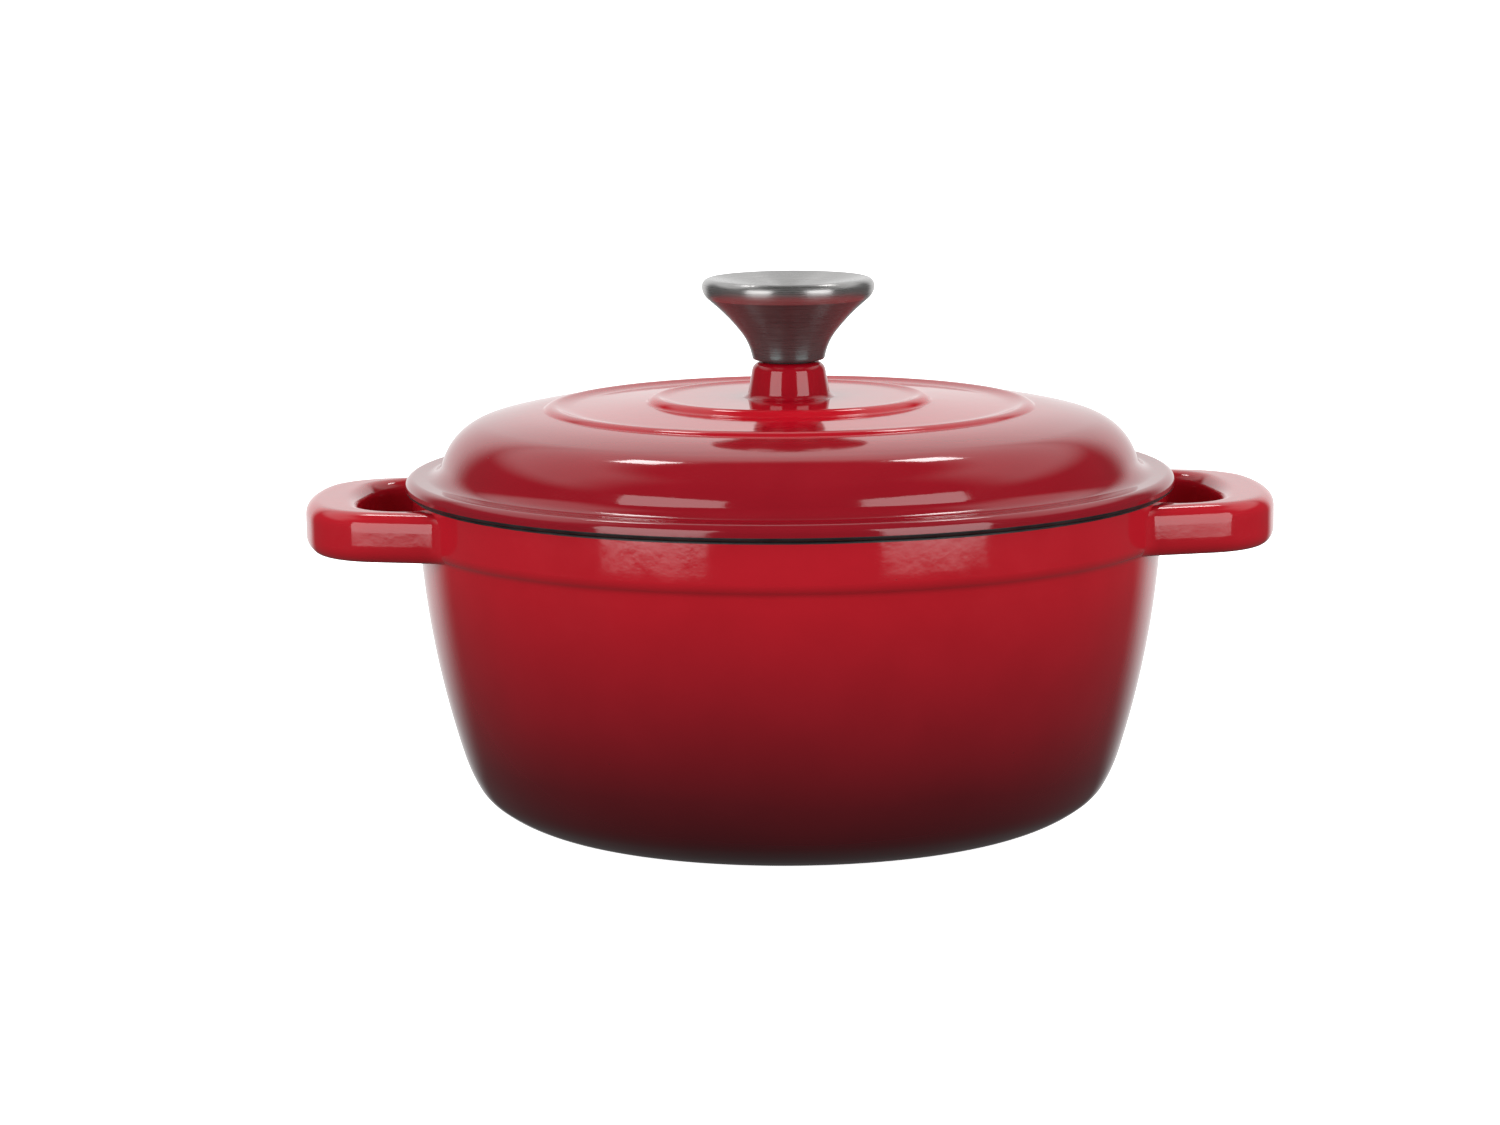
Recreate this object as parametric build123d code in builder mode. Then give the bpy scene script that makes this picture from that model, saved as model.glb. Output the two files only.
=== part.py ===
"""Enamelled cast iron dutch oven, 26 cm, with a lift-off lid and a stainless steel knob.

Millimetres, +Z up. The origin is the centre of the foot ring, on the surface the pot stands on.
+X runs through the two loop handles and -Y is the front.

Every turned shape is drawn in the XZ plane as a chain of straights and tangent arcs. A move is
(length, 0) for a straight and (radius, turn) for an arc, where the turn is in degrees and is
positive to the left. The metal always lies on the left of a chain, so the same chain drawn at a
depth gives a parallel line under the skin, and the enamel coats come from that.
"""

import math
import os

from build123d import *

# Enamel and walls
coat = 0.4
wall = 4.4

# Foot of the pot
foot_r = 81.0
foot_inner_r = 75.0
foot_lip = 0.3
recess_z = 0.8

# Outside of the pot, from the foot to the collar under the rim
pot_moves = [
    (41.5, 38.0),
    (19.0, 22.5),
    (58.0, 12.0),
    (320.0, 13.3),
    (3.0, -43.0),
    (4.8, 47.2),
]
rim_z = 118.4
rim_round = 1.2
rim_steps = 4

# Loop handles: plan outline and opening start on the X axis and run towards +Y
handle_top = 116.6
handle_thickness = 17.4
handle_round = 5.0
handle_tip_r = 170.1
handle_tip_moves = [(110.0, 14.0), (29.5, 62.5), (46.0, 0)]
opening_tip_r = 150.9
opening_moves = [(120.0, 12.0), (17.0, 62.0), (18.0, 0)]
handle_root_round = 9.0
opening_root_round = 5.0
handle_root_inner_r = 118.0
handle_root_x = 50.0
handle_root_half = 72.0
# Root corners of the opening lie nearer the X axis than corner_split, those of the outline further
corner_split = 50.0
seam_gap = 10.0

# Lid: underside and locating tongue, from the edge of the screw hole outwards
screw_clearance_r = 3.3
lid_under_z = 144.3
crown_r = 1060.0
crown_edge_r = 103.0
crown_first = math.degrees(math.asin(screw_clearance_r / crown_r))
crown_last = math.degrees(math.asin(crown_edge_r / crown_r))
crown_move = (crown_r, crown_first - crown_last)
lid_under_moves = [crown_move, (17.0, -62.1), (18.4, 0), (0.8, crown_last + 62.1)]
tongue_flat = 1.9
tongue_round = 1.0
tongue_root_round = 0.8

# Lid: brim and dome up to the flat centre, with two raised rings
brim_r = 135.0
brim_low_round = 1.2
dome_moves = [
    (1.2, 0),
    (3.0, 92.0),
    (3.8, 0),
    (6.0, -75.0),
    (0.8, 0),
    (21.0, 59.0),
    (130.0, 9.0),
]
outer_ring_moves = [(2.4, -24.0), (8.4, 45.0), (12.5, -19.5)]
plateau_moves = [(24.6, 0)]
inner_ring_moves = [(1.8, -52.0), (3.6, 72.0), (15.0, -16.5)]

# Boss cast in the middle of the lid
boss_foot_r = 16.6
boss_top_z = 162.4
boss_fillet = 2.4
boss_round = 3.6
boss_slope = 80.0

# Nubs under the lid: (ring radius, how many, nub radius), each a ball sunk half into the lid
nub_rings = [
    (18.5, 4, 3.4),
    (32.5, 7, 2.1),
    (47.0, 10, 3.4),
    (61.5, 13, 2.1),
    (76.0, 16, 3.4),
    (90.0, 19, 2.1),
]
nub_sunk_depth = 5.0

# Knob
gasket_t = 0.6
gasket_r = 9.4
gasket_hole_r = 3.1
knob_z = boss_top_z + gasket_t
knob_base_flat_r = 11.6
knob_edge_moves = [(1.2, 77.0), (1.2, 0)]
knob_flare_moves = [(20.0, -25.0), (70.0, -11.0), (3.1, 0)]
knob_rim_moves = [(5.6, 49.0), (2.8, 100.0)]
knob_wall = 1.4
dish_slope = 10.0
dish_t = 1.6
rim_ring_inner_r = 24.5

# M6 screw, its washers and the threaded insert welded inside the knob
screw_r = 3.0
screw_shank = 30.0
screw_head_r = 6.0
screw_head_h = 4.0
screw_head_round = 2.2
screw_tip_chamfer = 0.6
cross_slot = 1.6
cross_length = 7.8
cross_depth = 2.2
washer_t = 1.6
washer_r = 9.0
washer_bore_r = 3.2
washer_chamfer = 0.2
lock_washer_r = 5.9
lock_washer_gap = 1.2
lock_washer_gap_turn = 20.0
insert_spigot_r = 4.5
insert_flats = 12.0
insert_h = 8.0


def skin_end(start, moves):
    """Return the place and heading at the end of a chain."""
    x, z, heading = start
    for size, turn in moves:
        now = math.radians(heading)
        after = math.radians(heading + turn)
        if turn:
            side = math.copysign(size, turn)
            x += side * (math.sin(after) - math.sin(now))
            z += side * (math.cos(now) - math.cos(after))
        else:
            x += size * math.cos(now)
            z += size * math.sin(now)
        heading += turn
    return x, z, heading


def under(station, depth):
    """Return the point at a depth to the left of a place on the skin."""
    x, z, heading = station
    angle = math.radians(heading)
    return (x - depth * math.sin(angle), z + depth * math.cos(angle))


def stepped(radius, turn):
    """Return a small rim arc as a run of shorter ones, which are drawn as chords."""
    return [(radius, turn / rim_steps)] * rim_steps


def trace(start, moves, depth=0.0, chords=False):
    """Draw a chain at a depth under the skin and return its first and last points."""
    station = start
    for size, turn in moves:
        following = skin_end(station, [(size, turn)])
        if turn and not chords:
            angle = math.radians(station[2])
            tangent = (math.cos(angle), math.sin(angle))
            JernArc(under(station, depth), tangent, size - math.copysign(depth, turn), turn)
        else:
            Line(under(station, depth), under(following, depth))
        station = following
    return under(start, depth), under(station, depth)


# Stations shared by neighbouring pieces
foot_start = (foot_r, foot_lip, 0.0)
collar_top = skin_end(foot_start, pot_moves)
rim_seam_z = rim_z - rim_round
pot_side_moves = pot_moves + [(rim_seam_z - collar_top[1], 0)]
rim_start = skin_end(foot_start, pot_side_moves)
rim_corner = stepped(rim_round, 90.0)
rim_moves = [*rim_corner, (wall - 2 * rim_round, 0), *rim_corner]
collar_r = rim_start[0]
handle_root_r = collar_r - coat / 2

lid_under_start = (screw_clearance_r, lid_under_z, -crown_first)
tongue_start = skin_end(lid_under_start, lid_under_moves)
tongue_rise = rim_z - tongue_start[1] - tongue_round - tongue_root_round
tongue_outer_r = tongue_start[0] + tongue_flat + tongue_round
brim_run = brim_r - tongue_outer_r - tongue_root_round - brim_low_round
lid_rim_moves = [
    (tongue_flat, 0),
    *stepped(tongue_round, 90.0),
    (tongue_rise, 0),
    *stepped(tongue_root_round, -90.0),
    (brim_run, 0),
    *stepped(brim_low_round, 90.0),
]
brim_start = skin_end(tongue_start, lid_rim_moves)
rings_moves = dome_moves + outer_ring_moves + plateau_moves + inner_ring_moves
rings_end = skin_end(brim_start, rings_moves)
centre_run = rings_end[0] - boss_foot_r
flank_start = skin_end(rings_end, [(centre_run, 0), (boss_fillet, -boss_slope)])
boss_round_rise = boss_round * (1 - math.cos(math.radians(boss_slope)))
flank_run = (boss_top_z - boss_round_rise - flank_start[1]) / math.sin(math.radians(flank_start[2]))
boss_flank_moves = [
    (centre_run, 0),
    (boss_fillet, -boss_slope),
    (flank_run, 0),
    (boss_round, boss_slope),
]
boss_top_run = skin_end(rings_end, boss_flank_moves)[0] - screw_clearance_r
lid_top_moves = rings_moves + boss_flank_moves + [(boss_top_run, 0)]

knob_start = (knob_base_flat_r, knob_z, 0.0)
flare_start = skin_end(knob_start, knob_edge_moves)
knob_seam = skin_end(flare_start, knob_flare_moves)
dish_edge = skin_end(knob_seam, knob_rim_moves)
dish_fall = math.tan(math.radians(dish_slope))
dish_centre_z = dish_edge[1] - dish_edge[0] * dish_fall
knob_floor_z = under(flare_start, knob_wall)[1]


def band_face(start, moves, outer_depth, inner_depth, chords=False):
    """Add the strip between two depths of a chain to the sketch."""
    with BuildLine() as strip:
        outer_first, outer_last = trace(start, moves, outer_depth, chords)
        inner_first, inner_last = trace(start, moves, inner_depth, chords)
        Line(outer_first, inner_first)
        Line(outer_last, inner_last)
    make_face(strip.edges())


def pot_fill(depth):
    """Return the pot as a filled body, up to the rim seam, at a depth under its skin."""
    with BuildPart() as body:
        with BuildSketch(Plane.XZ):
            with BuildLine():
                foot, seam = trace(foot_start, pot_side_moves, depth)
                Polyline(seam, (0, seam[1]), (0, foot[1]), foot)
            make_face()
        revolve(axis=Axis.Z)
    return body.part


def loop_face(tip_r, moves, inner_x, mode=Mode.ADD):
    """Add a face that is symmetrical about X, from its tip inwards, to the sketch."""
    with BuildLine() as outline:
        root = trace((tip_r, 0, 90.0), moves)[1]
        Polyline(root, (inner_x, root[1]), (inner_x, 0))
        mirror(about=Plane.XZ)
    make_face(outline.edges(), mode=mode)


def handle_pair(depth):
    """Return both loop handles, at a depth under their skin, with roots deep in the wall."""
    with BuildPart() as handles:
        with BuildSketch(Plane.XY.offset(handle_top - handle_thickness + depth)) as plan:
            loop_face(handle_tip_r, handle_tip_moves, 0)
            loop_face(opening_tip_r, opening_moves, handle_root_inner_r, Mode.SUBTRACT)
            Circle(handle_root_r)
            corners = plan.vertices().filter_by(lambda v: v.X > 0 and abs(v.Y) > seam_gap)
            on_root = corners.filter_by(lambda v: abs(math.hypot(v.X, v.Y) - handle_root_r) < 0.01)
            outer_corners = on_root.filter_by(lambda v: abs(v.Y) > corner_split)
            opening_corners = on_root.filter_by(lambda v: abs(v.Y) < corner_split)
            fillet(outer_corners, handle_root_round)
            fillet(opening_corners, opening_root_round)
            if depth:
                offset(amount=-depth)
            Circle(handle_root_inner_r, mode=Mode.SUBTRACT)
            reach = (Align.MIN, Align.CENTER)
            with Locations((handle_root_x, 0)):
                Rectangle(handle_tip_r, 2 * handle_root_half, align=reach, mode=Mode.INTERSECT)
        extrude(amount=handle_thickness - 2 * depth)
        rims = handles.edges().filter_by(Plane.XY)
        rims = rims.filter_by(lambda e: math.hypot(e.center().X, e.center().Y) > collar_r - 1)
        fillet(rims, handle_round - depth)
        mirror(about=Plane.YZ)
    return handles.part


def crown_z(r):
    """Return the height of the lid's underside at a distance from the axis."""
    rise = math.sqrt(crown_r**2 - r**2) - math.sqrt(crown_r**2 - screw_clearance_r**2)
    return lid_under_z + rise


def nub_places(ring_r, count):
    """Return the places of one ring of nubs on the underside of the lid."""
    turns = [math.tau * (i + 0.5) / count for i in range(count)]
    z = crown_z(ring_r)
    return [(ring_r * math.cos(a), ring_r * math.sin(a), z) for a in turns]


def add_nubs(depth, mode=Mode.ADD):
    """Add every nub to the part as a ball, at a depth under its skin."""
    for ring_r, count, nub_r in nub_rings:
        with Locations(*nub_places(ring_r, count)):
            Sphere(nub_r - depth, mode=mode)


# Pot
iron_fill = pot_fill(coat)
iron_hollow = pot_fill(wall - coat)
handle_skin = handle_pair(0.0)
handle_core = handle_pair(coat)

with BuildPart() as pot_casting:
    with BuildSketch(Plane.XZ):
        with BuildLine():
            foot = trace(foot_start, pot_side_moves, coat)[0]
            trace(rim_start, rim_moves, coat, chords=True)
            floor = trace(foot_start, pot_side_moves, wall - coat)[0]
            Polyline(
                floor,
                (0, floor[1]),
                (0, recess_z + coat),
                (foot_inner_r, recess_z + coat),
                (foot_inner_r, 0),
                (foot_r, 0),
                foot,
            )
        make_face()
    revolve(axis=Axis.Z)
    add(handle_core)
    add(iron_hollow, mode=Mode.SUBTRACT)

with BuildPart() as pot_exterior_enamel:
    add(pot_fill(0.0))
    add(handle_skin)
    add(iron_fill, mode=Mode.SUBTRACT)
    add(handle_core, mode=Mode.SUBTRACT)
    with BuildSketch(Plane.XY.offset(foot_lip)):
        Circle(foot_r)
    extrude(amount=coat, mode=Mode.SUBTRACT)

with BuildPart() as pot_interior_enamel:
    add(iron_hollow)
    add(pot_fill(wall), mode=Mode.SUBTRACT)

with BuildPart() as pot_rim_coat:
    with BuildSketch(Plane.XZ):
        band_face(rim_start, rim_moves, 0.0, coat, chords=True)
    revolve(axis=Axis.Z)

with BuildPart() as pot_base_coat:
    with BuildSketch(Plane.XY.offset(recess_z)):
        Circle(foot_inner_r)
    extrude(amount=coat)

# Lid
with BuildPart() as lid_casting:
    with BuildSketch(Plane.XZ):
        with BuildLine():
            hole_foot = trace(lid_under_start, lid_under_moves, coat)[0]
            trace(tongue_start, lid_rim_moves, coat, chords=True)
            hole_top = trace(brim_start, lid_top_moves, coat)[1]
            Line(hole_top, hole_foot)
        make_face()
    revolve(axis=Axis.Z)
    add_nubs(coat)

with BuildPart() as lid_exterior_enamel:
    with BuildSketch(Plane.XZ):
        band_face(brim_start, lid_top_moves, 0.0, coat)
    revolve(axis=Axis.Z)

with BuildPart() as lid_interior_enamel:
    add_nubs(0.0)
    with BuildSketch(Plane.XZ):
        band_face(lid_under_start, [crown_move], coat, nub_sunk_depth)
    revolve(axis=Axis.Z, mode=Mode.SUBTRACT)
    with BuildSketch(Plane.XZ):
        band_face(lid_under_start, lid_under_moves, 0.0, coat)
    revolve(axis=Axis.Z)
    add_nubs(coat, mode=Mode.SUBTRACT)

with BuildPart() as lid_rim_coat:
    with BuildSketch(Plane.XZ):
        band_face(tongue_start, lid_rim_moves, 0.0, coat, chords=True)
    revolve(axis=Axis.Z)

# Knob
with BuildPart() as knob_gasket:
    with BuildSketch(Plane.XY.offset(boss_top_z)):
        Circle(gasket_r)
        Circle(gasket_hole_r, mode=Mode.SUBTRACT)
    extrude(amount=gasket_t)

with BuildPart() as knob_shell:
    with BuildSketch(Plane.XZ):
        with BuildLine():
            base = trace(knob_start, knob_edge_moves)[0]
            seam_outer = trace(flare_start, knob_flare_moves)[1]
            floor, seam_inner = trace(flare_start, knob_flare_moves, knob_wall)
            Line(seam_outer, seam_inner)
            Polyline(floor, (insert_spigot_r, floor[1]), (insert_spigot_r, knob_z), base)
        make_face()
    revolve(axis=Axis.Z)

with BuildPart() as knob_cap:
    with BuildSketch(Plane.XZ):
        with BuildLine():
            seam_outer, dish_first = trace(knob_seam, knob_rim_moves)
            seam_inner = under(knob_seam, knob_wall)
            under_dish_z = dish_centre_z - dish_t
            Polyline(
                dish_first,
                (0, dish_centre_z),
                (0, under_dish_z),
                (rim_ring_inner_r, under_dish_z + rim_ring_inner_r * dish_fall),
                seam_inner,
                seam_outer,
            )
        make_face()
    revolve(axis=Axis.Z)

with BuildPart() as knob_insert:
    with BuildSketch(Plane.XY.offset(knob_z)):
        Circle(insert_spigot_r)
        Circle(screw_r, mode=Mode.SUBTRACT)
    extrude(amount=knob_floor_z - knob_z)
    with BuildSketch(Plane.XY.offset(knob_floor_z)):
        RegularPolygon(insert_flats / 2, 6, major_radius=False)
        Circle(screw_r, mode=Mode.SUBTRACT)
    extrude(amount=insert_h)

# Fastening from below
washer_top_z = crown_z(washer_r)
screw_head_top_z = washer_top_z - 2 * washer_t

with BuildPart() as flat_washer:
    with BuildSketch(Plane.XY.offset(washer_top_z - washer_t)):
        Circle(washer_r)
        Circle(washer_bore_r, mode=Mode.SUBTRACT)
    extrude(amount=washer_t)
    outer_edges = flat_washer.edges().filter_by(GeomType.CIRCLE).sort_by(SortBy.RADIUS)[-2:]
    chamfer(outer_edges, washer_chamfer)

with BuildPart() as lock_washer:
    with BuildSketch(Plane.XY.offset(screw_head_top_z)):
        Circle(lock_washer_r)
        Circle(washer_bore_r, mode=Mode.SUBTRACT)
        with Locations((lock_washer_r, 0)):
            Rectangle(
                2 * lock_washer_r,
                lock_washer_gap,
                rotation=lock_washer_gap_turn,
                mode=Mode.SUBTRACT,
            )
    extrude(amount=washer_t)

with BuildPart() as knob_screw:
    with BuildSketch(Plane.XY.offset(screw_head_top_z)):
        Circle(screw_r)
    extrude(amount=screw_shank)
    chamfer(knob_screw.edges().sort_by(Axis.Z)[-1], screw_tip_chamfer)
    with BuildSketch(Plane.XY.offset(screw_head_top_z - screw_head_h)):
        Circle(screw_head_r)
    extrude(amount=screw_head_h)
    fillet(knob_screw.edges().sort_by(Axis.Z)[0], screw_head_round)
    with BuildSketch(Plane.XY.offset(screw_head_top_z - screw_head_h)):
        Rectangle(cross_length, cross_slot)
        Rectangle(cross_slot, cross_length)
    extrude(amount=cross_depth, mode=Mode.SUBTRACT)

pieces = {
    "pot_casting": pot_casting,
    "pot_exterior_enamel": pot_exterior_enamel,
    "pot_interior_enamel": pot_interior_enamel,
    "pot_rim_coat": pot_rim_coat,
    "pot_base_coat": pot_base_coat,
    "lid_casting": lid_casting,
    "lid_exterior_enamel": lid_exterior_enamel,
    "lid_interior_enamel": lid_interior_enamel,
    "lid_rim_coat": lid_rim_coat,
    "knob_gasket": knob_gasket,
    "knob_shell": knob_shell,
    "knob_cap": knob_cap,
    "knob_insert": knob_insert,
    "flat_washer": flat_washer,
    "lock_washer": lock_washer,
    "knob_screw": knob_screw,
}

os.makedirs("parts", exist_ok=True)
for name, piece in pieces.items():
    piece.part.label = name
    export_step(piece.part, f"parts/{name}.step")
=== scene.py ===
"""Looks of an enamelled cast iron dutch oven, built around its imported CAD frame.

Shapes are worked out in millimetres and made in metres. Every turned shape is a chain of straights
and tangent arcs in the (r, z) half plane. It starts at (r, z, heading in degrees), a move is (length, 0)
or (radius, turn in degrees), and the metal lies on its left, so a depth gives a parallel line under the
skin. The outlines of a handle are chains in plan, in (x, y).
"""

import math

import bpy
import numpy as np
from mathutils import Euler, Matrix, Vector


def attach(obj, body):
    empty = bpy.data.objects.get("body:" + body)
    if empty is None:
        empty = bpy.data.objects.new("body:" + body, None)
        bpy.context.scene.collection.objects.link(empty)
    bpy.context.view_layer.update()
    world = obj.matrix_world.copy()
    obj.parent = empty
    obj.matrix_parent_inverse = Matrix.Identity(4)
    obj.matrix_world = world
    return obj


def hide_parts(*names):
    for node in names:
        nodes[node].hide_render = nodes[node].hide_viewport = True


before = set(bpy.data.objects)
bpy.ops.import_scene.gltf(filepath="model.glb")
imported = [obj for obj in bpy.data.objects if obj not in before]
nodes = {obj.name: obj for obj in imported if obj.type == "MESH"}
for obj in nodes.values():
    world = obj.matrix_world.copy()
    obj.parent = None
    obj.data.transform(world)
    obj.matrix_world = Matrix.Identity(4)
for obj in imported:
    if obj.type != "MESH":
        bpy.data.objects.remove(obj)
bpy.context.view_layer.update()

MM = 0.001
TURNED_SEGMENTS = 256
ARC_STEP = 4.0
RUN_STEP = 3.0
KNOB_STEP = 1.0
SHARP_ANGLE = 38.0

# Driving sizes, in millimetres
COAT = 0.4
WALL = 4.4
FOOT_START = (81.0, 0.3, 0.0)
FLOOR_RINGS = 12
POT_MOVES = [(41.5, 38.0), (19.0, 22.5), (58.0, 12.0), (320.0, 13.3), (3.0, -43.0), (4.8, 47.2)]
RIM_Z = 118.4
RIM_ROUND = 1.2

SCREW_HOLE_R = 3.3
LID_UNDER_Z = 144.3
CROWN_R = 1060.0
CROWN_EDGE_R = 103.0
SHOULDER_MOVE = (17.0, -62.1)
LID_SIDE_RUN = 18.4
LID_SIDE_ROUND = 0.8
TONGUE_FLAT = 1.9
TONGUE_ROUND = 1.0
TONGUE_ROOT_ROUND = 0.8
BRIM_R = 135.0
BRIM_LOW_ROUND = 1.2
DOME_MOVES = [(1.2, 0), (3.0, 92.0), (3.8, 0), (6.0, -75.0), (0.8, 0), (21.0, 59.0), (130.0, 9.0)]
OUTER_RING_MOVES = [(1.6, -38.0), (4.39, 61.5), (16.42, -22.0)]
PLATEAU_MOVES = [(24.6, 0)]
INNER_RING_MOVES = [(1.8, -52.0), (3.6, 72.0), (15.0, -16.5)]
BOSS_FOOT_R = 16.6
BOSS_TOP_Z = 162.4
BOSS_FILLET = 2.4
BOSS_ROUND = 3.6
BOSS_SLOPE = 80.0
# Ring radius, how many, nub radius
NUB_RINGS = [
    (18.5, 4, 3.4),
    (32.5, 7, 2.1),
    (47.0, 10, 3.4),
    (61.5, 13, 2.1),
    (76.0, 16, 3.4),
    (90.0, 19, 2.1),
]
NUB_SEGMENTS = 20
NUB_CAP_ANGLE = 73.8
NUB_SKIRT = 0.45
NUB_SINK = 0.2

KNOB_START = (11.6, 163.0, 0.0)
KNOB_EDGE_MOVES = [(1.2, 77.0), (1.2, 0)]
KNOB_FLARE_MOVES = [(20.0, -25.0), (70.0, -11.0), (3.1, 0)]
KNOB_RIM_MOVES = [(5.6, 49.0), (2.8, 100.0)]
KNOB_WALL = 1.4
INSERT_SPIGOT_R = 4.5
DISH_SLOPE = 10.0
DISH_THICK = 1.6
DISH_RINGS = 16
RIM_RING_INNER_R = 24.5

HANDLE_TOP = 116.6
HANDLE_THICK = 17.4
HANDLE_ROUND = 5.0
HANDLE_TIP = (170.1, 0.0, 90.0)
HANDLE_MOVES = [(110.0, 14.0), (29.5, 62.5)]
OPENING_TIP = (150.9, 0.0, 90.0)
OPENING_MOVES = [(120.0, 12.0), (17.0, 62.0)]
OUTER_ROOT_FILLET = 9.0
INNER_ROOT_FILLET = 5.0
OUTLINE_STEPS = 40
HANDLE_ROWS = 90
CORNER_STEPS = 7
FLAT_STEPS = 5
# How far into the wall the bar goes, as a share of its thickness
HANDLE_SINK = 0.7

# Colours, linear, with their places along the shading
POT_REDS = [
    (0.0, (0.03, 0.0028, 0.0045)),
    (0.22, (0.085, 0.004, 0.007)),
    (0.5, (0.24, 0.006, 0.012)),
    (0.8, (0.4, 0.008, 0.016)),
    (1.0, (0.43, 0.009, 0.018)),
]
# Reds for the lid: the first two stops, out to the boss's edge, are painted shade under the knob's flare
LID_REDS_AND_PAINTED_BOSS_SHADE = [
    (0.0, (0.3, 0.002, 0.009)),
    (0.11, (0.32, 0.002, 0.01)),
    (0.17, (0.48, 0.003, 0.012)),
    (0.55, (0.44, 0.003, 0.012)),
    (0.8, (0.27, 0.004, 0.011)),
    (1.0, (0.22, 0.005, 0.012)),
]
# Pairs of colours, linear, at the two ends of a noise's usual span
NOISE_SPAN = (0.3, 0.7)
# The knob side's steel is a darker, blue-green copy of the cap's: painted shade, and a tint that paints out
# the lid's red reflection
SHELL_STEELS_PAINTED_SHADE = [(0.11, 0.18, 0.18), (0.22, 0.33, 0.325)]
CAP_STEELS = [(0.27, 0.265, 0.26), (0.47, 0.465, 0.46)]
CREAMS = [(0.74, 0.72, 0.65), (0.79, 0.775, 0.71)]
MOTTLES = [(0.93, 0.9, 0.9), (1.0, 1.0, 1.0)]
BLACKS = [(0.006, 0.006, 0.007), (0.02, 0.019, 0.019)]
IRONS = [(0.05, 0.05, 0.052), (0.11, 0.108, 0.105)]
PLATINGS = [(0.36, 0.36, 0.37), (0.56, 0.56, 0.57)]
RUBBERS = [(0.012, 0.012, 0.012), (0.03, 0.029, 0.028)]
PAPERS = [(0.93, 0.93, 0.93), (0.96, 0.96, 0.96)]

# Enamel: where the shading ends and the specks' spacing and size, in metres
POT_SHADE_HEIGHT = 0.12
LID_SHADE_RADIUS = 0.135
SPECK_SPACING = 0.0045
SPECK_SIZE = 0.00022
SPECK_DEPTH = 2.0
SPECK_TINT = 0.75

# Turned steel: how metallic, its roughness, and the lines that turning left on it
METAL_SHARE = 0.88
STEEL_ROUGH = (0.24, 0.36)
LINES_PER_METRE = 5200.0
LINE_DRIFT = 1.6
LINE_HEIGHT = 5e-6

# The stage, in metres and degrees
FLOOR_HALF = 60.0
FLOOR_GLOW = 1.0
WORLD_PALE = 1.05
WORLD_DARK = 0.1
# Where the backdrop and the belt fade in or out, as parts of a unit direction
BACKDROP_Y = (0.66, 0.88)
BACKDROP_Z = (-0.38, -0.16)
BELT_Y = (-0.35, 0.1)
BELT_START_Z = (0.4, 0.6)
BELT_END_Z = (0.8, 0.92)
LIGHT_AIM_Z = 0.1
# Name, distance, azimuth, elevation, width, height, radiance
SOFTBOXES = [
    ("key_left", 1.8, -41.0, 12.0, 1.1, 1.29, 3.3),
    ("key_right", 1.8, 41.0, 12.0, 1.1, 1.29, 3.3),
    ("overhead_left", 1.6, -143.0, 60.0, 0.22, 0.22, 11.0),
    ("overhead_right", 1.6, 143.0, 60.0, 0.22, 0.22, 11.0),
]
# Soft suns that light without being mirrored: name, azimuth, elevation, irradiance
FILLS = [
    ("fill_left", -70.0, 5.0, 1.5),
    ("fill_right", 70.0, 5.0, 1.5),
    ("fill_top", 0.0, 80.0, 1.1),
]
FILL_SPREAD = 50.0
LENS = 110.0
SENSOR = 36.0
CAMERA_AWAY = 1.6
CAMERA_HEIGHT = 0.3389
CAMERA_PITCH = 8.81
CAMERA_ROLL = -0.54
CAMERA_AZIMUTH = -1.2
CAMERA_YAW = 0.51


# ---------------------------------------------------------------- chains

def chain_end(start, moves):
    """Place and heading at the end of a chain."""
    r, z, heading = start
    for size, turn in moves:
        now = math.radians(heading)
        after = math.radians(heading + turn)
        if turn:
            side = math.copysign(size, turn)
            r += side * (math.sin(after) - math.sin(now))
            z += side * (math.cos(now) - math.cos(after))
        else:
            r += size * math.cos(now)
            z += size * math.sin(now)
        heading += turn
    return r, z, heading


def chain_points(start, moves, depth=0.0, run_step=RUN_STEP):
    """Points along a chain, at a depth to its left."""
    stations = [start]
    for size, turn in moves:
        if turn:
            length = size * math.radians(abs(turn))
            count = max(3, math.ceil(abs(turn) / ARC_STEP), math.ceil(length / run_step))
            part = (size, turn / count)
        else:
            count = max(1, math.ceil(size / run_step))
            part = (size / count, 0)
        for _ in range(count):
            stations.append(chain_end(stations[-1], [part]))
    points = []
    for r, z, heading in stations:
        angle = math.radians(heading)
        points.append((r - depth * math.sin(angle), z + depth * math.cos(angle)))
    return points


FOOT_TO_COLLAR = chain_end(FOOT_START, POT_MOVES)
POT_SIDE_MOVES = POT_MOVES + [(RIM_Z - RIM_ROUND - FOOT_TO_COLLAR[1], 0)]
RIM_START = chain_end(FOOT_START, POT_SIDE_MOVES)
RIM_MOVES = [(RIM_ROUND, 90.0), (WALL - 2 * RIM_ROUND, 0), (RIM_ROUND, 90.0)]

crown_first = math.degrees(math.asin(SCREW_HOLE_R / CROWN_R))
crown_last = math.degrees(math.asin(CROWN_EDGE_R / CROWN_R))
LID_UNDER_START = (SCREW_HOLE_R, LID_UNDER_Z, -crown_first)
LID_UNDER_MOVES = [
    (CROWN_R, crown_first - crown_last),
    SHOULDER_MOVE,
    (LID_SIDE_RUN, 0),
    (LID_SIDE_ROUND, crown_last - SHOULDER_MOVE[1]),
]
TONGUE_START = chain_end(LID_UNDER_START, LID_UNDER_MOVES)
tongue_rise = RIM_Z - TONGUE_START[1] - TONGUE_ROUND - TONGUE_ROOT_ROUND
tongue_outer_r = TONGUE_START[0] + TONGUE_FLAT + TONGUE_ROUND
brim_run = BRIM_R - tongue_outer_r - TONGUE_ROOT_ROUND - BRIM_LOW_ROUND
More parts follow.
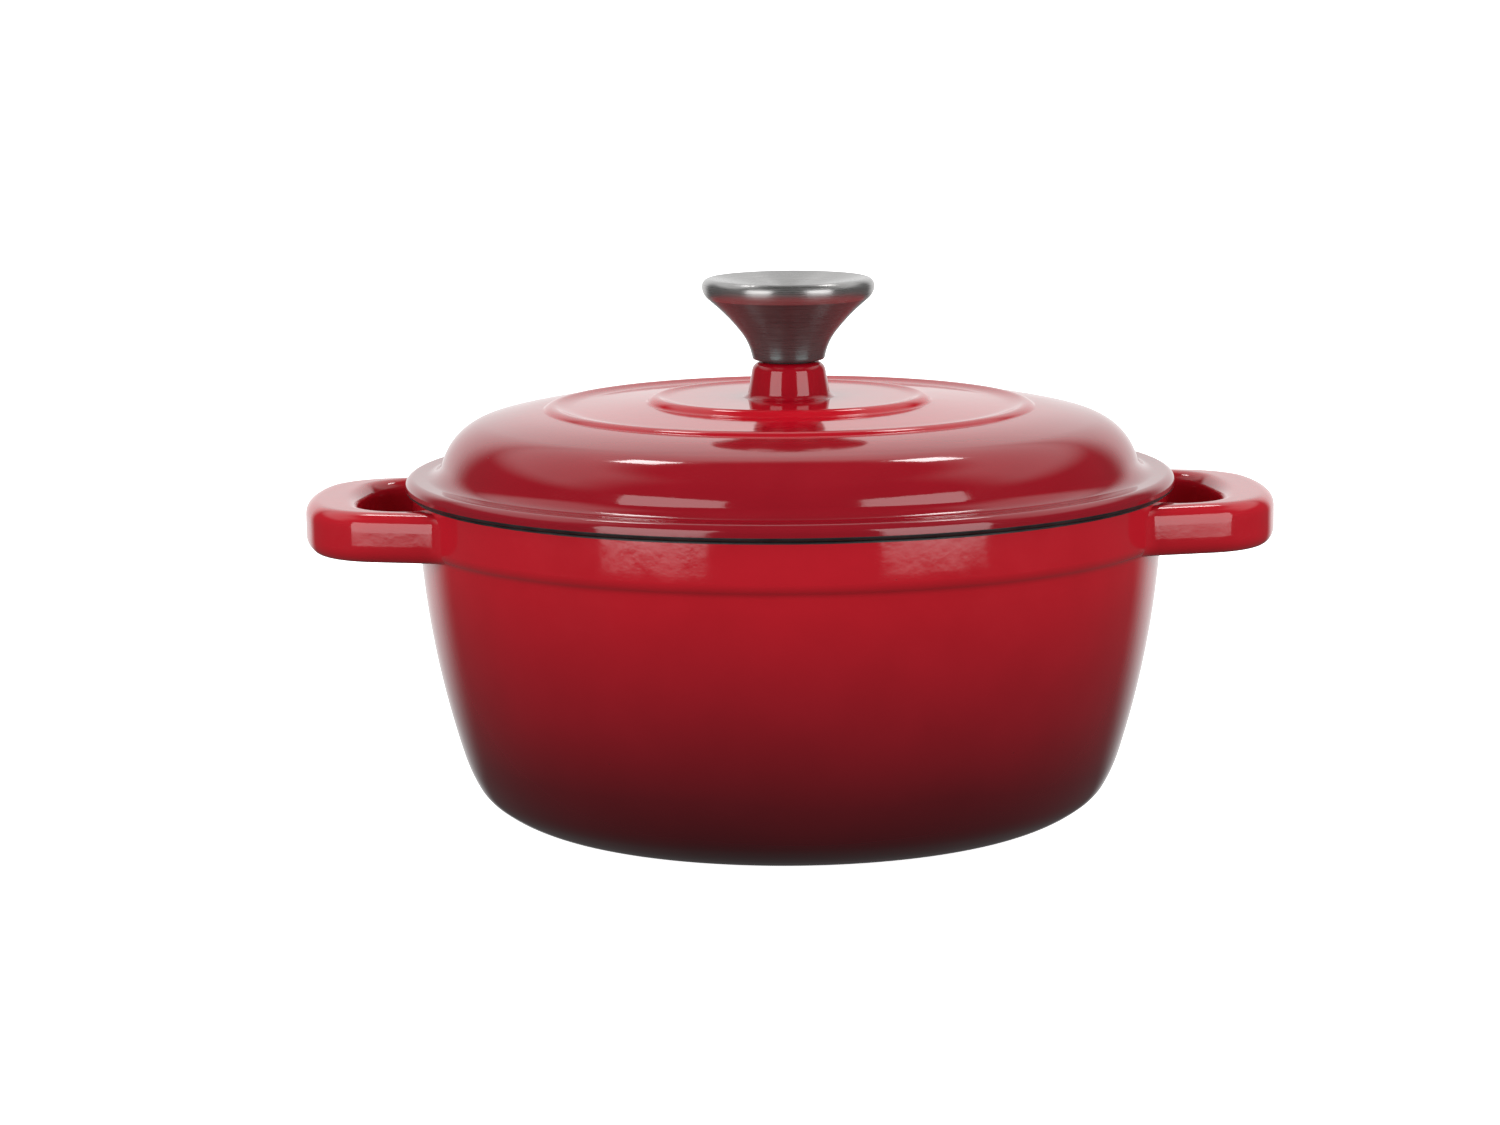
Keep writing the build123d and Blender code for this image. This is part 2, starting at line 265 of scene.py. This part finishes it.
LID_RIM_MOVES = [
    (TONGUE_FLAT, 0),
    (TONGUE_ROUND, 90.0),
    (tongue_rise, 0),
    (TONGUE_ROOT_ROUND, -90.0),
    (brim_run, 0),
    (BRIM_LOW_ROUND, 90.0),
]
BRIM_START = chain_end(TONGUE_START, LID_RIM_MOVES)
RINGS_MOVES = DOME_MOVES + OUTER_RING_MOVES + PLATEAU_MOVES + INNER_RING_MOVES
rings_end = chain_end(BRIM_START, RINGS_MOVES)
centre_run = rings_end[0] - BOSS_FOOT_R
flank_start = chain_end(rings_end, [(centre_run, 0), (BOSS_FILLET, -BOSS_SLOPE)])
boss_round_rise = BOSS_ROUND * (1 - math.cos(math.radians(BOSS_SLOPE)))
flank_run = (BOSS_TOP_Z - boss_round_rise - flank_start[1]) / math.sin(math.radians(flank_start[2]))
BOSS_MOVES = [(centre_run, 0), (BOSS_FILLET, -BOSS_SLOPE), (flank_run, 0), (BOSS_ROUND, BOSS_SLOPE)]
boss_top_run = chain_end(rings_end, BOSS_MOVES)[0] - SCREW_HOLE_R
LID_TOP_MOVES = RINGS_MOVES + BOSS_MOVES + [(boss_top_run, 0)]


# ---------------------------------------------------------------- meshes

def new_object(name, verts, faces):
    """Make a smooth-shaded object from millimetre vertices."""
    mesh = bpy.data.meshes.new(name)
    mesh.from_pydata([(x * MM, y * MM, z * MM) for x, y, z in verts], [], faces)
    mesh.validate()
    mesh.shade_smooth()
    mesh.set_sharp_from_angle(angle=math.radians(SHARP_ANGLE))
    obj = bpy.data.objects.new(name, mesh)
    bpy.context.scene.collection.objects.link(obj)
    return obj


def turned_mesh(loop, segments=TURNED_SEGMENTS):
    """Vertices and faces of a closed (r, z) loop turned about Z. Points on the axis stay single."""
    verts = []
    rings = []
    angles = [math.tau * k / segments for k in range(segments)]
    for r, z in loop:
        if r < 1e-6:
            rings.append([len(verts)] * segments)
            verts.append((0.0, 0.0, z))
        else:
            rings.append(list(range(len(verts), len(verts) + segments)))
            verts.extend((r * math.cos(a), r * math.sin(a), z) for a in angles)
    faces = []
    for i, ring in enumerate(rings):
        following = rings[(i + 1) % len(rings)]
        if ring[0] == ring[-1] and following[0] == following[-1]:
            continue
        for k in range(segments):
            n = (k + 1) % segments
            corners = [ring[k], ring[n], following[n], following[k]]
            face = [c for j, c in enumerate(corners) if c not in corners[:j]]
            faces.append(face)
    return verts, faces


def coat_loop(start, moves):
    """Closed loop round the coat under a chain."""
    return chain_points(start, moves) + chain_points(start, moves, COAT)[::-1]


def join_meshes(parts):
    """Join (vertices, faces) pairs into one pair."""
    verts = []
    faces = []
    for part_verts, part_faces in parts:
        base = len(verts)
        verts.extend(part_verts)
        faces.extend([[base + i for i in face] for face in part_faces])
    return verts, faces


def blended_outline(tip, moves, fillet, gap_side):
    """A plan outline carried on to the wall and blended into it.

    The open gap is on its right (gap_side 1) or on its left (-1).
    """
    x, y, heading = chain_end(tip, moves)
    angle = math.radians(heading)
    along_x, along_y = math.cos(angle), math.sin(angle)
    base_x = x + gap_side * fillet * along_y
    base_y = y - gap_side * fillet * along_x
    forward = base_x * along_x + base_y * along_y
    reach = RIM_START[0] - COAT / 2 + fillet
    run = -forward - math.sqrt(forward**2 - base_x**2 - base_y**2 + reach**2)
    centre = math.degrees(math.atan2(base_y + run * along_y, base_x + run * along_x))
    turn = centre + 180 - 90 * gap_side - heading
    return moves + [(run, 0), (fillet, turn)]


def plan_stations(tip, moves, count):
    """Evenly spaced (x, y, heading in radians) along a plan outline."""
    stations = [tip]
    for size, turn in moves:
        part = (size, turn / OUTLINE_STEPS) if turn else (size / OUTLINE_STEPS, 0)
        for _ in range(OUTLINE_STEPS):
            stations.append(chain_end(stations[-1], [part]))
    dense = np.array(stations)
    steps = np.hypot(*np.diff(dense[:, :2], axis=0).T)
    run = np.concatenate([[0], np.cumsum(steps)])
    at = np.linspace(0, run[-1], count)
    x, y, heading = (np.interp(at, run, dense[:, k]) for k in range(3))
    return np.stack([x, y, np.radians(heading)], 1)


def rounded_section():
    """A rounded rectangle as (side, level, out_u, out_z).

    Side and level say where the corner's centre is, each from -1 to 1, and out_u and out_z are the way
    out from it.
    """
    corners = []
    for side, level, first in ((1, 1, 0), (-1, 1, 90), (-1, -1, 180), (1, -1, 270)):
        for k in range(CORNER_STEPS + 1):
            angle = math.radians(first + 90 * k / CORNER_STEPS)
            corners.append((side, level, math.cos(angle), math.sin(angle)))
    section = []
    for here, there in zip(corners, corners[1:] + corners[:1]):
        section.append(here)
        if here[:2] != there[:2]:
            for k in range(1, FLAT_STEPS):
                share = k / FLAT_STEPS
                side = here[0] + share * (there[0] - here[0])
                level = here[1] + share * (there[1] - here[1])
                section.append((side, level, here[2], here[3]))
    return section


def handle_mesh(sign):
    """One loop handle: a bar with rounded edges that blends into the collar at both ends."""
    section = rounded_section()
    outer_moves = blended_outline(HANDLE_TIP, HANDLE_MOVES, OUTER_ROOT_FILLET, 1)
    inner_moves = blended_outline(OPENING_TIP, OPENING_MOVES, INNER_ROOT_FILLET, -1)
    outer = plan_stations(HANDLE_TIP, outer_moves, HANDLE_ROWS)
    inner = plan_stations(OPENING_TIP, inner_moves, HANDLE_ROWS)
    mid_z = HANDLE_TOP - HANDLE_THICK / 2
    half_z = HANDLE_THICK / 2 - HANDLE_ROUND
    # The bar stops inside the wall
    stop_r = RIM_START[0] - HANDLE_SINK * WALL
    half = []
    for (ox, oy, outer_heading), (ix, iy, inner_heading) in zip(outer, inner):
        row = []
        for side, level, out_u, out_z in section:
            depth = HANDLE_ROUND * (1 - abs(out_u))
            share = (1 + side) / 2
            outer_x = ox - depth * math.sin(outer_heading)
            outer_y = oy + depth * math.cos(outer_heading)
            inner_x = ix + depth * math.sin(inner_heading)
            inner_y = iy - depth * math.cos(inner_heading)
            x = inner_x + share * (outer_x - inner_x)
            y = inner_y + share * (outer_y - inner_y)
            push = max(1.0, stop_r / math.hypot(x, y))
            row.append((sign * push * x, push * y, mid_z + level * half_z + out_z * HANDLE_ROUND))
        half.append(row)
    rows = [[(x, -y, z) for x, y, z in row] for row in half[:0:-1]] + half
    verts = [point for row in rows for point in row]
    ring = len(section)
    last = (len(rows) - 1) * ring
    faces = [list(range(ring))[::-1], [last + k for k in range(ring)]]
    for i in range(0, last, ring):
        for k in range(ring):
            n = (k + 1) % ring
            faces.append([i + k, i + n, i + ring + n, i + ring + k])
    return verts, [face if sign > 0 else face[::-1] for face in faces]


def crown_z(r):
    """Height of the lid's underside at a distance from the axis."""
    return LID_UNDER_Z + math.sqrt(CROWN_R**2 - r**2) - math.sqrt(CROWN_R**2 - SCREW_HOLE_R**2)


def nub_mesh(x, y, z, radius):
    """One nub: a ball hanging from the lid, with a soft skirt that runs out into the surface."""
    skirt = NUB_SKIRT * radius
    loop = []
    for angle in np.radians(np.linspace(0, NUB_CAP_ANGLE, 7)):
        loop.append((radius * math.sin(angle), -radius * math.cos(angle)))
    foot_r, foot_z = loop[-1]
    for share in (0.25, 0.5, 0.75, 1.0):
        loop.append((foot_r + skirt * share, foot_z * (1 - share) ** 2))
    loop.append((foot_r + skirt, NUB_SINK))
    loop.append((0.0, NUB_SINK))
    verts, faces = turned_mesh(loop, NUB_SEGMENTS)
    return [(x + vx, y + vy, z + vz) for vx, vy, vz in verts], faces


def pot_exterior():
    shell = turned_mesh(coat_loop(FOOT_START, POT_SIDE_MOVES))
    return new_object("red_enamel_pot", *join_meshes([shell, handle_mesh(1), handle_mesh(-1)]))


def pot_interior():
    sides = []
    for depth in (WALL - COAT, WALL):
        side = chain_points(FOOT_START, POT_SIDE_MOVES, depth)
        floor = [(r, side[0][1]) for r in np.linspace(0, side[0][0], FLOOR_RINGS)[:-1]]
        sides.append(floor + side)
    return new_object("cream_enamel_pot", *turned_mesh(sides[0] + sides[1][::-1]))


def pot_rim():
    return new_object("black_enamel_rim", *turned_mesh(coat_loop(RIM_START, RIM_MOVES)))


def lid_exterior():
    return new_object("red_enamel_lid", *turned_mesh(coat_loop(BRIM_START, LID_TOP_MOVES)))


def lid_interior():
    shell = turned_mesh(coat_loop(LID_UNDER_START, LID_UNDER_MOVES))
    nubs = []
    for ring_r, count, radius in NUB_RINGS:
        for k in range(count):
            a = math.tau * (k + 0.5) / count
            nubs.append(nub_mesh(ring_r * math.cos(a), ring_r * math.sin(a), crown_z(ring_r), radius))
    return new_object("cream_enamel_lid", *join_meshes([shell] + nubs))


def lid_rim():
    return new_object("black_enamel_brim", *turned_mesh(coat_loop(TONGUE_START, LID_RIM_MOVES)))


def knob_shell():
    flare_start = chain_end(KNOB_START, KNOB_EDGE_MOVES)
    outside = chain_points(KNOB_START, KNOB_EDGE_MOVES + KNOB_FLARE_MOVES, run_step=KNOB_STEP)
    inside = chain_points(flare_start, KNOB_FLARE_MOVES, KNOB_WALL)
    floor = [(INSERT_SPIGOT_R, inside[0][1]), (INSERT_SPIGOT_R, KNOB_START[1])]
    return new_object("brushed_knob_shell", *turned_mesh(outside + inside[::-1] + floor))


def knob_cap():
    seam = chain_end(KNOB_START, KNOB_EDGE_MOVES + KNOB_FLARE_MOVES)
    rim = chain_points(seam, KNOB_RIM_MOVES, run_step=KNOB_STEP)
    fall = math.tan(math.radians(DISH_SLOPE))
    edge_r, edge_z = rim[-1]
    dish = [(r, edge_z - (edge_r - r) * fall) for r in np.linspace(edge_r, 0, DISH_RINGS)[1:]]
    under_z = dish[-1][1] - DISH_THICK
    under = [(0.0, under_z), (RIM_RING_INNER_R, under_z + RIM_RING_INNER_R * fall)]
    seam_inner = chain_points(seam, [], KNOB_WALL)[0]
    return new_object("brushed_knob_cap", *turned_mesh(rim + dish + under + [seam_inner]))


# ---------------------------------------------------------------- material nodes

class Nodes:
    """Short forms for building one node tree."""

    def __init__(self, tree):
        self.tree = tree

    def add(self, kind, inputs=None, **settings):
        node = self.tree.nodes.new(kind)
        for key, value in settings.items():
            setattr(node, key, value)
        for key, value in (inputs or {}).items():
            if isinstance(value, bpy.types.NodeSocket):
                self.tree.links.new(value, node.inputs[key])
            else:
                node.inputs[key].default_value = value
        return node

    def math(self, operation, a, b=0.0):
        return self.add("ShaderNodeMath", {0: a, 1: b}, operation=operation).outputs[0]

    def vector(self, operation, a, b):
        return self.add("ShaderNodeVectorMath", {0: a, 1: b}, operation=operation).outputs[0]

    def remap(self, value, low, high, to_low, to_high):
        inputs = {"Value": value, "From Min": low, "From Max": high, "To Min": to_low, "To Max": to_high}
        return self.add("ShaderNodeMapRange", inputs).outputs["Result"]

    def noise(self, vector, scale, detail=2.0, roughness=0.5):
        """Noise with about this many blotches along each unit of the vector."""
        inputs = {"Vector": vector, "Scale": scale, "Detail": detail, "Roughness": roughness}
        return self.add("ShaderNodeTexNoise", inputs).outputs["Fac"]

    def ramp(self, value, stops):
        node = self.add("ShaderNodeValToRGB", {"Fac": value})
        elements = node.color_ramp.elements
        while len(elements) < len(stops):
            elements.new(0.5)
        for element, (place, colour) in zip(elements, stops):
            element.position = place
            element.color = (*colour, 1.0)
        return node.outputs["Color"]

    def spread(self, noise, low, high):
        """A noise with its usual span carried to low and high."""
        return self.remap(noise, *NOISE_SPAN, low, high)

    def tint(self, noise, shades):
        """A noise turned into colours between two shades."""
        return self.ramp(noise, list(zip(NOISE_SPAN, shades)))

    def mix(self, kind, share, a, b):
        node = self.add("ShaderNodeMix", data_type="RGBA", blend_type=kind)
        for key, value in (("Factor", share), ("A", a), ("B", b)):
            socket = next(s for s in node.inputs if s.name == key and s.enabled)
            if isinstance(value, bpy.types.NodeSocket):
                self.tree.links.new(value, socket)
            else:
                socket.default_value = value
        return next(s for s in node.outputs if s.enabled)

    def bump(self, height, distance):
        inputs = {"Height": height, "Distance": distance, "Strength": 1.0}
        return self.add("ShaderNodeBump", inputs).outputs["Normal"]


def new_material(name):
    """A fresh material, its node helper, its Principled shader and the piece's own place in metres."""
    material = bpy.data.materials.new(name)
    material.use_nodes = True
    tree = material.node_tree
    tree.nodes.clear()
    nt = Nodes(tree)
    shader = nt.add("ShaderNodeBsdfPrincipled")
    output = nt.add("ShaderNodeOutputMaterial")
    tree.links.new(shader.outputs["BSDF"], output.inputs["Surface"])
    place = nt.add("ShaderNodeTexCoord").outputs["Object"]
    return material, nt, shader, place


def set_inputs(nt, shader, **values):
    """Set or link shader inputs. Underscores stand for spaces."""
    for key, value in values.items():
        socket = shader.inputs[key.replace("_", " ")]
        if isinstance(value, bpy.types.NodeSocket):
            nt.tree.links.new(value, socket)
        else:
            socket.default_value = value


def polar(nt, place):
    """(radius, height) sockets of a place, in metres."""
    parts = nt.add("ShaderNodeSeparateXYZ", {0: place})
    squares = [nt.math("MULTIPLY", parts.outputs[k], parts.outputs[k]) for k in ("X", "Y")]
    return nt.math("SQRT", nt.math("ADD", *squares)), parts.outputs["Z"]


def specks(nt, place, share):
    """1 on small round specks, 0 elsewhere. Share is how many cells hold one."""
    cells = nt.add("ShaderNodeTexVoronoi", {"Vector": place, "Scale": 1 / SPECK_SPACING})
    edge = SPECK_SIZE / SPECK_SPACING
    inside = nt.remap(cells.outputs["Distance"], edge, 0.6 * edge, 0.0, 1.0)
    chance = nt.add("ShaderNodeSeparateColor", {0: cells.outputs["Color"]}).outputs[0]
    chosen = nt.math("LESS_THAN", chance, share)
    return nt.math("MULTIPLY", inside, chosen)


def enamel(name, shade, speck_colour, gloss=(0.05, 0.11), peel=1.5e-5, speck_share=0.05):
    """Fired glass enamel: a ramped colour, faint mottling, pinhole specks and an orange-peel skin."""
    material, nt, shader, place = new_material(name)
    colour = shade(nt, place)
    cloud = nt.noise(place, 45.0, 3.0)
    colour = nt.mix("MULTIPLY", 1.0, colour, nt.tint(cloud, MOTTLES))
    marks = specks(nt, place, speck_share)
    colour = nt.mix("MIX", nt.math("MULTIPLY", marks, SPECK_TINT), colour, (*speck_colour, 1.0))
    waves = nt.noise(place, 260.0, 2.0)
    fine = nt.noise(place, 1400.0, 1.0)
    height = nt.math("ADD", waves, nt.math("MULTIPLY", fine, 0.12))
    height = nt.math("SUBTRACT", height, nt.math("MULTIPLY", marks, SPECK_DEPTH))
    roughness = nt.spread(nt.noise(place, 90.0, 4.0, 0.6), *gloss)
    set_inputs(nt, shader, Base_Color=colour, Roughness=roughness, Normal=nt.bump(height, peel), IOR=1.52)
    return material


def shaded(nt, place, measure, end, wander, reds):
    """Reds from 0 to the end of a measure, with its bounds wandering a little. All in metres."""
    push = nt.math("MULTIPLY", nt.math("SUBTRACT", nt.noise(place, 14.0, 2.0), 0.5), wander)
    return nt.ramp(nt.remap(nt.math("ADD", measure, push), 0.0, end, 0.0, 1.0), reds)


def pot_shade(nt, place):
    """Bright red at the collar and handles, falling to dark maroon at the foot."""
    return shaded(nt, place, polar(nt, place)[1], POT_SHADE_HEIGHT, 0.012, POT_REDS)


def lid_reds_and_painted_boss_shade(nt, place):
    """Deep on the boss, where the darker red is painted shade under the knob's flare, brightest on the disc
    round it, and deeper again towards the brim.
    """
    return shaded(nt, place, polar(nt, place)[0], LID_SHADE_RADIUS, 0.01, LID_REDS_AND_PAINTED_BOSS_SHADE)


def cream_shade(nt, place):
    return nt.tint(nt.noise(place, 8.0, 2.0), CREAMS)


def matt_black(name):
    """Thin matt enamel on the rims, fine-grained like a casting."""
    material, nt, shader, place = new_material(name)
    grain = nt.noise(place, 1600.0, 3.0, 0.6)
    colour = nt.tint(nt.noise(place, 120.0, 3.0), BLACKS)
    roughness = nt.spread(grain, 0.38, 0.6)
    set_inputs(nt, shader, Base_Color=colour, Roughness=roughness, Normal=nt.bump(grain, 3e-5))
    return material


def cast_iron(name):
    """Bare grey iron with the grain of its sand mould."""
    material, nt, shader, place = new_material(name)
    sand = nt.noise(place, 900.0, 5.0, 0.65)
    colour = nt.tint(nt.noise(place, 60.0, 3.0), IRONS)
    roughness = nt.spread(sand, 0.45, 0.75)
    set_inputs(nt, shader, Base_Color=colour, Metallic=0.85, Roughness=roughness, Normal=nt.bump(sand, 8e-5))
    return material


def turned_steel(name, shades):
    """Steel brushed round the axis: fine rings, with the gloss drawn out across them."""
    material, nt, shader, place = new_material(name)
    radius, height = polar(nt, place)
    around = nt.vector("NORMALIZE", nt.vector("MULTIPLY", place, (1.0, 1.0, 0.0)), (0.0, 0.0, 0.0))
    across = nt.math("MULTIPLY", nt.math("ADD", radius, height), LINES_PER_METRE)
    lift = nt.add("ShaderNodeCombineXYZ", {"Z": across}).outputs[0]
    drift = nt.vector("MULTIPLY", around, (LINE_DRIFT, LINE_DRIFT, 0.0))
    line_place = nt.vector("ADD", drift, lift)
    lines = nt.noise(line_place, 1.0, 3.0, 0.7)
    smudges = nt.spread(nt.noise(place, 55.0, 3.0), -0.02, 0.03)
    roughness = nt.math("ADD", nt.spread(lines, *STEEL_ROUGH), smudges)
    set_inputs(
        nt,
        shader,
        Base_Color=nt.tint(lines, shades),
        Metallic=METAL_SHARE,
        Roughness=roughness,
        Anisotropic=0.8,
        Anisotropic_Rotation=0.25,
        Normal=nt.bump(lines, LINE_HEIGHT),
        Tangent=nt.add("ShaderNodeTangent", direction_type="RADIAL", axis="Z").outputs[0],
    )
    return material


def plated_steel(name):
    """Zinc-plated fastener steel, slightly mottled."""
    material, nt, shader, place = new_material(name)
    grain = nt.noise(place, 700.0, 4.0, 0.6)
    colour = nt.tint(grain, PLATINGS)
    roughness = nt.spread(grain, 0.24, 0.42)
    set_inputs(nt, shader, Base_Color=colour, Metallic=1.0, Roughness=roughness, Normal=nt.bump(grain, 2e-5))
    return material


def rubber(name):
    """Dark moulded silicone rubber."""
    material, nt, shader, place = new_material(name)
    grain = nt.noise(place, 2200.0, 2.0)
    colour = nt.tint(grain, RUBBERS)
    roughness = nt.spread(grain, 0.55, 0.75)
    set_inputs(nt, shader, Base_Color=colour, Roughness=roughness, Normal=nt.bump(grain, 2e-5))
    return material


def floor_paint(name):
    """Seamless pale paper, faintly fibrous."""
    material, nt, shader, place = new_material(name)
    fibre = nt.noise(place, 400.0, 3.0)
    colour = nt.tint(fibre, PAPERS)
    set_inputs(nt, shader, Base_Color=colour, Roughness=0.9, Normal=nt.bump(fibre, 2e-5))
    set_inputs(nt, shader, Emission_Color=(1.0, 1.0, 1.0, 1.0), Emission_Strength=FLOOR_GLOW)
    return material


# ---------------------------------------------------------------- stage

def make_floor():
    """A wide sheet of pale paper under the pot. Only the camera sees it."""
    half = FLOOR_HALF
    mesh = bpy.data.meshes.new("floor")
    corners = [(-half, -half, 0), (half, -half, 0), (half, half, 0), (-half, half, 0)]
    mesh.from_pydata(corners, [], [(0, 1, 2, 3)])
    floor = bpy.data.objects.new("floor", mesh)
    bpy.context.scene.collection.objects.link(floor)
    floor.data.materials.append(floor_paint("pale_paper"))
    floor.visible_glossy = False
    floor.visible_diffuse = False
    floor.visible_shadow = False


def from_angles(distance, azimuth, elevation):
    """A place round the origin. Azimuth 0 is in front of the pot, 90 on its right."""
    a, e = math.radians(azimuth), math.radians(elevation)
    return Vector((math.sin(a) * math.cos(e), -math.cos(a) * math.cos(e), math.sin(e))) * distance


def softbox(name, distance, azimuth, elevation, width, height, radiance):
    """A rectangular softbox turned to the middle of the pot."""
    data = bpy.data.lights.new(name, "AREA")
    data.shape = "RECTANGLE"
    data.size, data.size_y = width, height
    data.energy = radiance * math.pi * width * height
    lamp = bpy.data.objects.new(name, data)
    bpy.context.scene.collection.objects.link(lamp)
    target = Vector((0, 0, LIGHT_AIM_Z))
    lamp.location = target + from_angles(distance, azimuth, elevation)
    lamp.rotation_mode = "QUATERNION"
    lamp.rotation_quaternion = (target - lamp.location).to_track_quat("-Z", "Y")


def fill(name, azimuth, elevation, irradiance):
    """A broad soft sun that the enamel doesn't mirror."""
    data = bpy.data.lights.new(name, "SUN")
    data.energy = irradiance
    data.angle = math.radians(FILL_SPREAD)
    lamp = bpy.data.objects.new(name, data)
    bpy.context.scene.collection.objects.link(lamp)
    lamp.visible_glossy = False
    lamp.rotation_mode = "QUATERNION"
    lamp.rotation_quaternion = (-from_angles(1.0, azimuth, elevation)).to_track_quat("-Z", "Y")


def make_lights():
    for box in SOFTBOXES:
        softbox(*box)
    for sun in FILLS:
        fill(*sun)


def make_world():
    """A studio dome: pale straight behind and in a belt half way up at the back, dark elsewhere."""
    world = bpy.data.worlds.new("studio")
    bpy.context.scene.world = world
    world.use_nodes = True
    tree = world.node_tree
    tree.nodes.clear()
    nt = Nodes(tree)
    way = nt.add("ShaderNodeTexCoord").outputs["Generated"]
    parts = nt.add("ShaderNodeSeparateXYZ", {0: way})

    def step(axis, low, high):
        inputs = {"Value": parts.outputs[axis], "From Min": low, "From Max": high}
        return nt.add("ShaderNodeMapRange", inputs, interpolation_type="SMOOTHSTEP").outputs[0]

    behind = nt.math("MULTIPLY", step("Y", *BACKDROP_Y), step("Z", *BACKDROP_Z))
    below_end = nt.math("SUBTRACT", 1.0, step("Z", *BELT_END_Z))
    belt = nt.math("MULTIPLY", step("Z", *BELT_START_Z), below_end)
    belt = nt.math("MULTIPLY", belt, step("Y", *BELT_Y))
    lit = nt.math("MAXIMUM", behind, belt)
    strength = nt.math("ADD", nt.math("MULTIPLY", lit, WORLD_PALE - WORLD_DARK), WORLD_DARK)
    sky = nt.add("ShaderNodeBackground", {"Color": (1.0, 1.0, 1.0, 1.0), "Strength": strength})
    output = nt.add("ShaderNodeOutputWorld")
    tree.links.new(sky.outputs[0], output.inputs[0])


def make_camera():
    """The photograph's long lens, a little above the lid and slightly to the left of square on."""
    data = bpy.data.cameras.new("camera")
    data.lens = LENS
    data.sensor_width = SENSOR
    data.clip_start, data.clip_end = 0.05, 200.0
    camera = bpy.data.objects.new("camera", data)
    bpy.context.scene.collection.objects.link(camera)
    a = math.radians(CAMERA_AZIMUTH)
    camera.location = (math.sin(a) * CAMERA_AWAY, -math.cos(a) * CAMERA_AWAY, CAMERA_HEIGHT)
    turn = Euler((math.radians(90 - CAMERA_PITCH), 0, math.radians(CAMERA_AZIMUTH + CAMERA_YAW)), "XYZ")
    roll = Euler((0, 0, math.radians(CAMERA_ROLL)), "XYZ")
    camera.rotation_mode = "QUATERNION"
    camera.rotation_quaternion = turn.to_quaternion() @ roll.to_quaternion()
    bpy.context.scene.camera = camera


# ---------------------------------------------------------------- the pot put together

def dress(piece, body, material, slot, *stands_for):
    """Give a piece its material, its body and the CAD nodes it stands for. The slot argument is not used."""
    piece.data.materials.clear()
    piece.data.materials.append(material)
    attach(piece, body)
    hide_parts(*stands_for)


def repaint(material, *names):
    """A better material on CAD nodes whose shape stays."""
    for name in names:
        slots = nodes[name].data.materials
        slots.clear()
        slots.append(material)


red = enamel("red_enamel", pot_shade, (0.02, 0.002, 0.003))
# The lid's red carries painted shade on the boss under the knob
lid_red = enamel("lid_red_enamel", lid_reds_and_painted_boss_shade, (0.04, 0.002, 0.003))
cream = enamel(
    "cream_enamel",
    cream_shade,
    (0.05, 0.045, 0.035),
    gloss=(0.08, 0.16),
    peel=2.0e-5,
    speck_share=0.12,
)
black = matt_black("black_enamel")
# The knob's side gets painted shade and a tint that paints out the lid's red reflection; the cap keeps the
# plain steel
painted_shade_shell_steel = turned_steel("brushed_shell_steel_painted_shade", SHELL_STEELS_PAINTED_SHADE)
cap_steel = turned_steel("brushed_cap_steel", CAP_STEELS)
iron = cast_iron("cast_iron")
fastener = plated_steel("plated_steel")

dress(pot_exterior(), "pot", red, "red_enamel", "pot_exterior_enamel")
dress(pot_interior(), "pot", cream, "cream_enamel", "pot_interior_enamel")
dress(pot_rim(), "pot", black, "black_enamel", "pot_rim_coat")
dress(lid_exterior(), "lid", lid_red, "lid_red_enamel", "lid_exterior_enamel")
dress(lid_interior(), "lid", cream, "cream_enamel", "lid_interior_enamel")
dress(lid_rim(), "lid", black, "black_enamel", "lid_rim_coat")
dress(knob_shell(), "lid", painted_shade_shell_steel, "knob_steel", "knob_shell")
dress(knob_cap(), "lid", cap_steel, "knob_steel", "knob_cap")
repaint(iron, "pot_casting", "lid_casting")
repaint(black, "pot_base_coat")
repaint(rubber("gasket_rubber"), "knob_gasket")
repaint(fastener, "knob_insert", "flat_washer", "lock_washer", "knob_screw")

make_floor()
make_lights()
make_world()
make_camera()
bpy.context.scene.view_settings.view_transform = "Standard"
